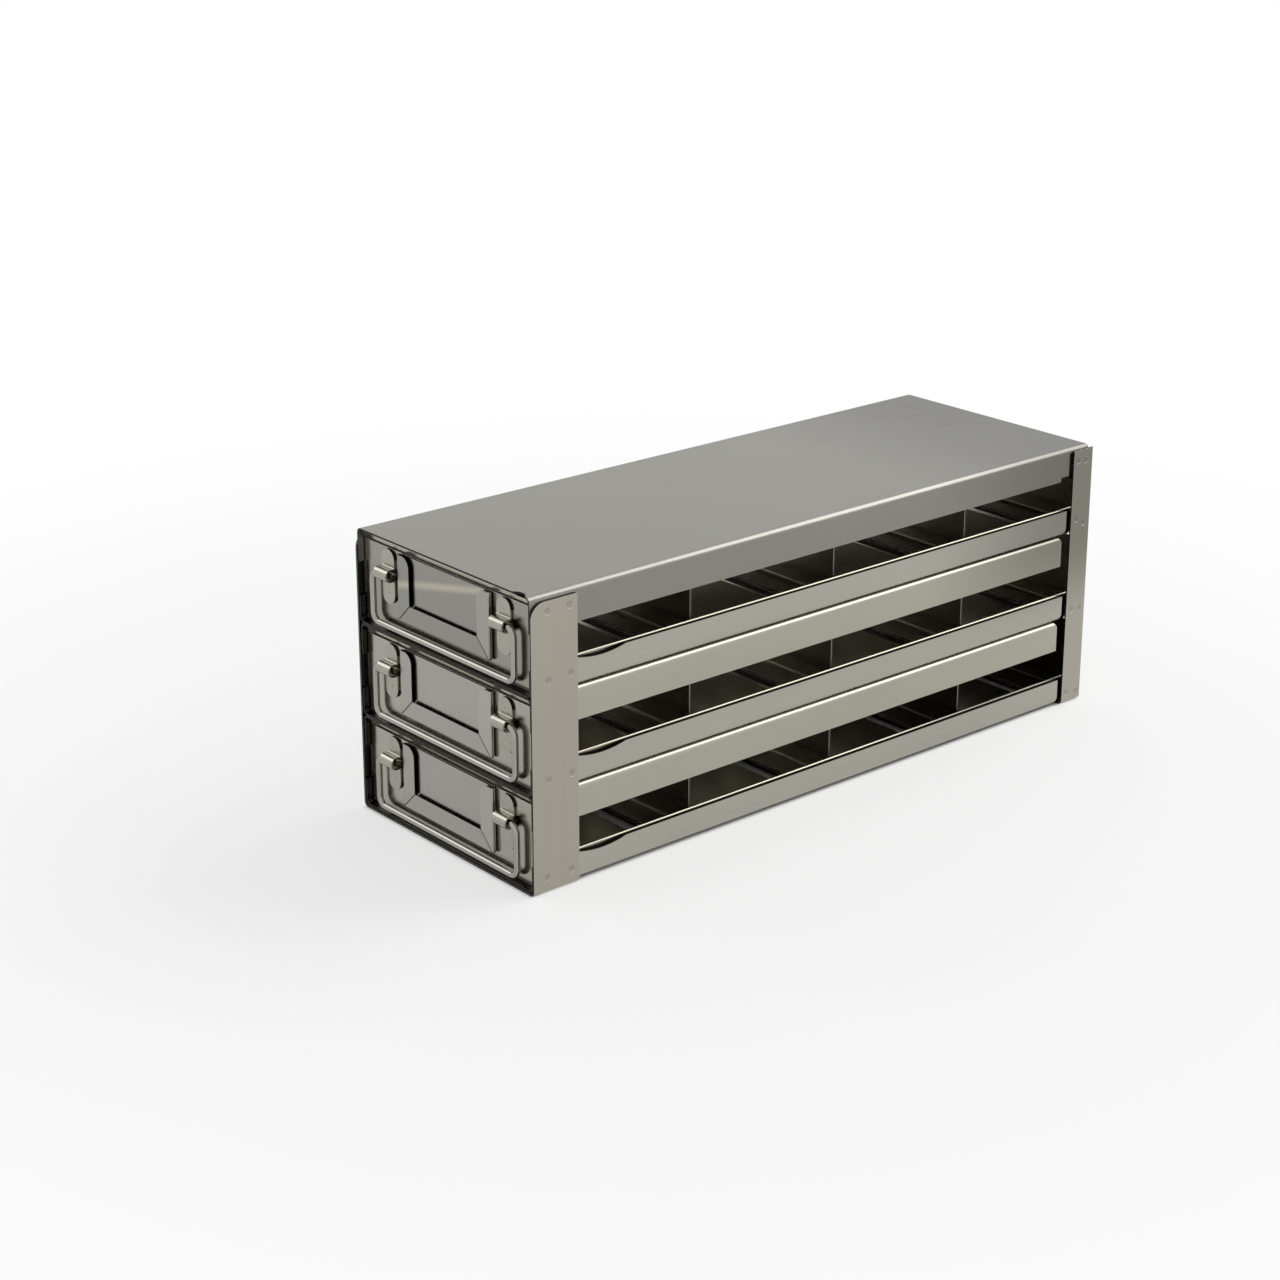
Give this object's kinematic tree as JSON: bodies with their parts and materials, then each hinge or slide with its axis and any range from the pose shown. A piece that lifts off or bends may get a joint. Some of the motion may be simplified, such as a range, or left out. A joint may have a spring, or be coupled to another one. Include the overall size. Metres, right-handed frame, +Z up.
{
  "type": "freezer storage rack",
  "caption": "Stainless steel freezer rack with stacked sliding drawers, label holders and hinged wire handles.",
  "frame": {"origin": "on the resting plane, under the middle of the whole object", "axes": "+Z up, +Y towards the rear wall of the rack, so the drawers open towards -Y; +X is the side on the right of someone who faces the drawers"},
  "size_m": [0.14, 0.3928, 0.1498],
  "materials": {
    "top_plate_steel": "satin",
    "strap_steel": "satin",
    "tray_steel": "satin",
    "channel_steel": "satin",
    "pan_steel": "satin",
    "front_panel_steel": "satin",
    "label_holder_steel": "satin",
    "bracket_steel": "satin",
    "divider_steel": "satin",
    "wire_steel": "satin"
  },
  "bodies": {
    "rack": {"top_plate": "top_plate_steel", "front_strap": "strap_steel", "rear_strap": "strap_steel", "bottom_tray": "tray_steel", "middle_tray": "tray_steel", "top_tray": "tray_steel", "bottom_channel": "channel_steel", "middle_channel": "channel_steel"},
    "bottom_drawer": {"bottom_drawer_pan": "pan_steel", "bottom_front_panel": "front_panel_steel", "bottom_label_holder": "label_holder_steel", "bottom_left_bracket": "bracket_steel", "bottom_right_bracket": "bracket_steel", "bottom_divider_1": "divider_steel", "bottom_divider_2": "divider_steel", "bottom_divider_3": "divider_steel", "bottom_rear_wall": "divider_steel"},
    "bottom_handle": {"bottom_handle": "wire_steel"},
    "middle_drawer": {"middle_drawer_pan": "pan_steel", "middle_front_panel": "front_panel_steel", "middle_label_holder": "label_holder_steel", "middle_left_bracket": "bracket_steel", "middle_right_bracket": "bracket_steel", "middle_divider_1": "divider_steel", "middle_divider_2": "divider_steel", "middle_divider_3": "divider_steel", "middle_rear_wall": "divider_steel"},
    "middle_handle": {"middle_handle": "wire_steel"},
    "top_drawer": {"top_drawer_pan": "pan_steel", "top_front_panel": "front_panel_steel", "top_label_holder": "label_holder_steel", "top_left_bracket": "bracket_steel", "top_right_bracket": "bracket_steel", "top_divider_1": "divider_steel", "top_divider_2": "divider_steel", "top_divider_3": "divider_steel", "top_rear_wall": "divider_steel"},
    "top_handle": {"top_handle": "wire_steel"}
  },
  "joints": [
    {"name": "bottom_drawer_slide", "type": "slide", "parent": "rack", "child": "bottom_drawer", "axis": [0, -1, 0], "range_m": [0, 0.33]},
    {"name": "bottom_handle_swing", "type": "hinge", "parent": "bottom_drawer", "child": "bottom_handle", "pos_m": [0, -0.1931, 0.0322], "axis": [-1, 0, 0], "range_deg": [0, 120]},
    {"name": "middle_drawer_slide", "type": "slide", "parent": "rack", "child": "middle_drawer", "axis": [0, -1, 0], "range_m": [0, 0.33]},
    {"name": "middle_handle_swing", "type": "hinge", "parent": "middle_drawer", "child": "middle_handle", "pos_m": [0, -0.1931, 0.0817], "axis": [-1, 0, 0], "range_deg": [0, 120]},
    {"name": "top_drawer_slide", "type": "slide", "parent": "rack", "child": "top_drawer", "axis": [0, -1, 0], "range_m": [0, 0.33]},
    {"name": "top_handle_swing", "type": "hinge", "parent": "top_drawer", "child": "top_handle", "pos_m": [0, -0.1931, 0.1312], "axis": [-1, 0, 0], "range_deg": [0, 120]}
  ]
}
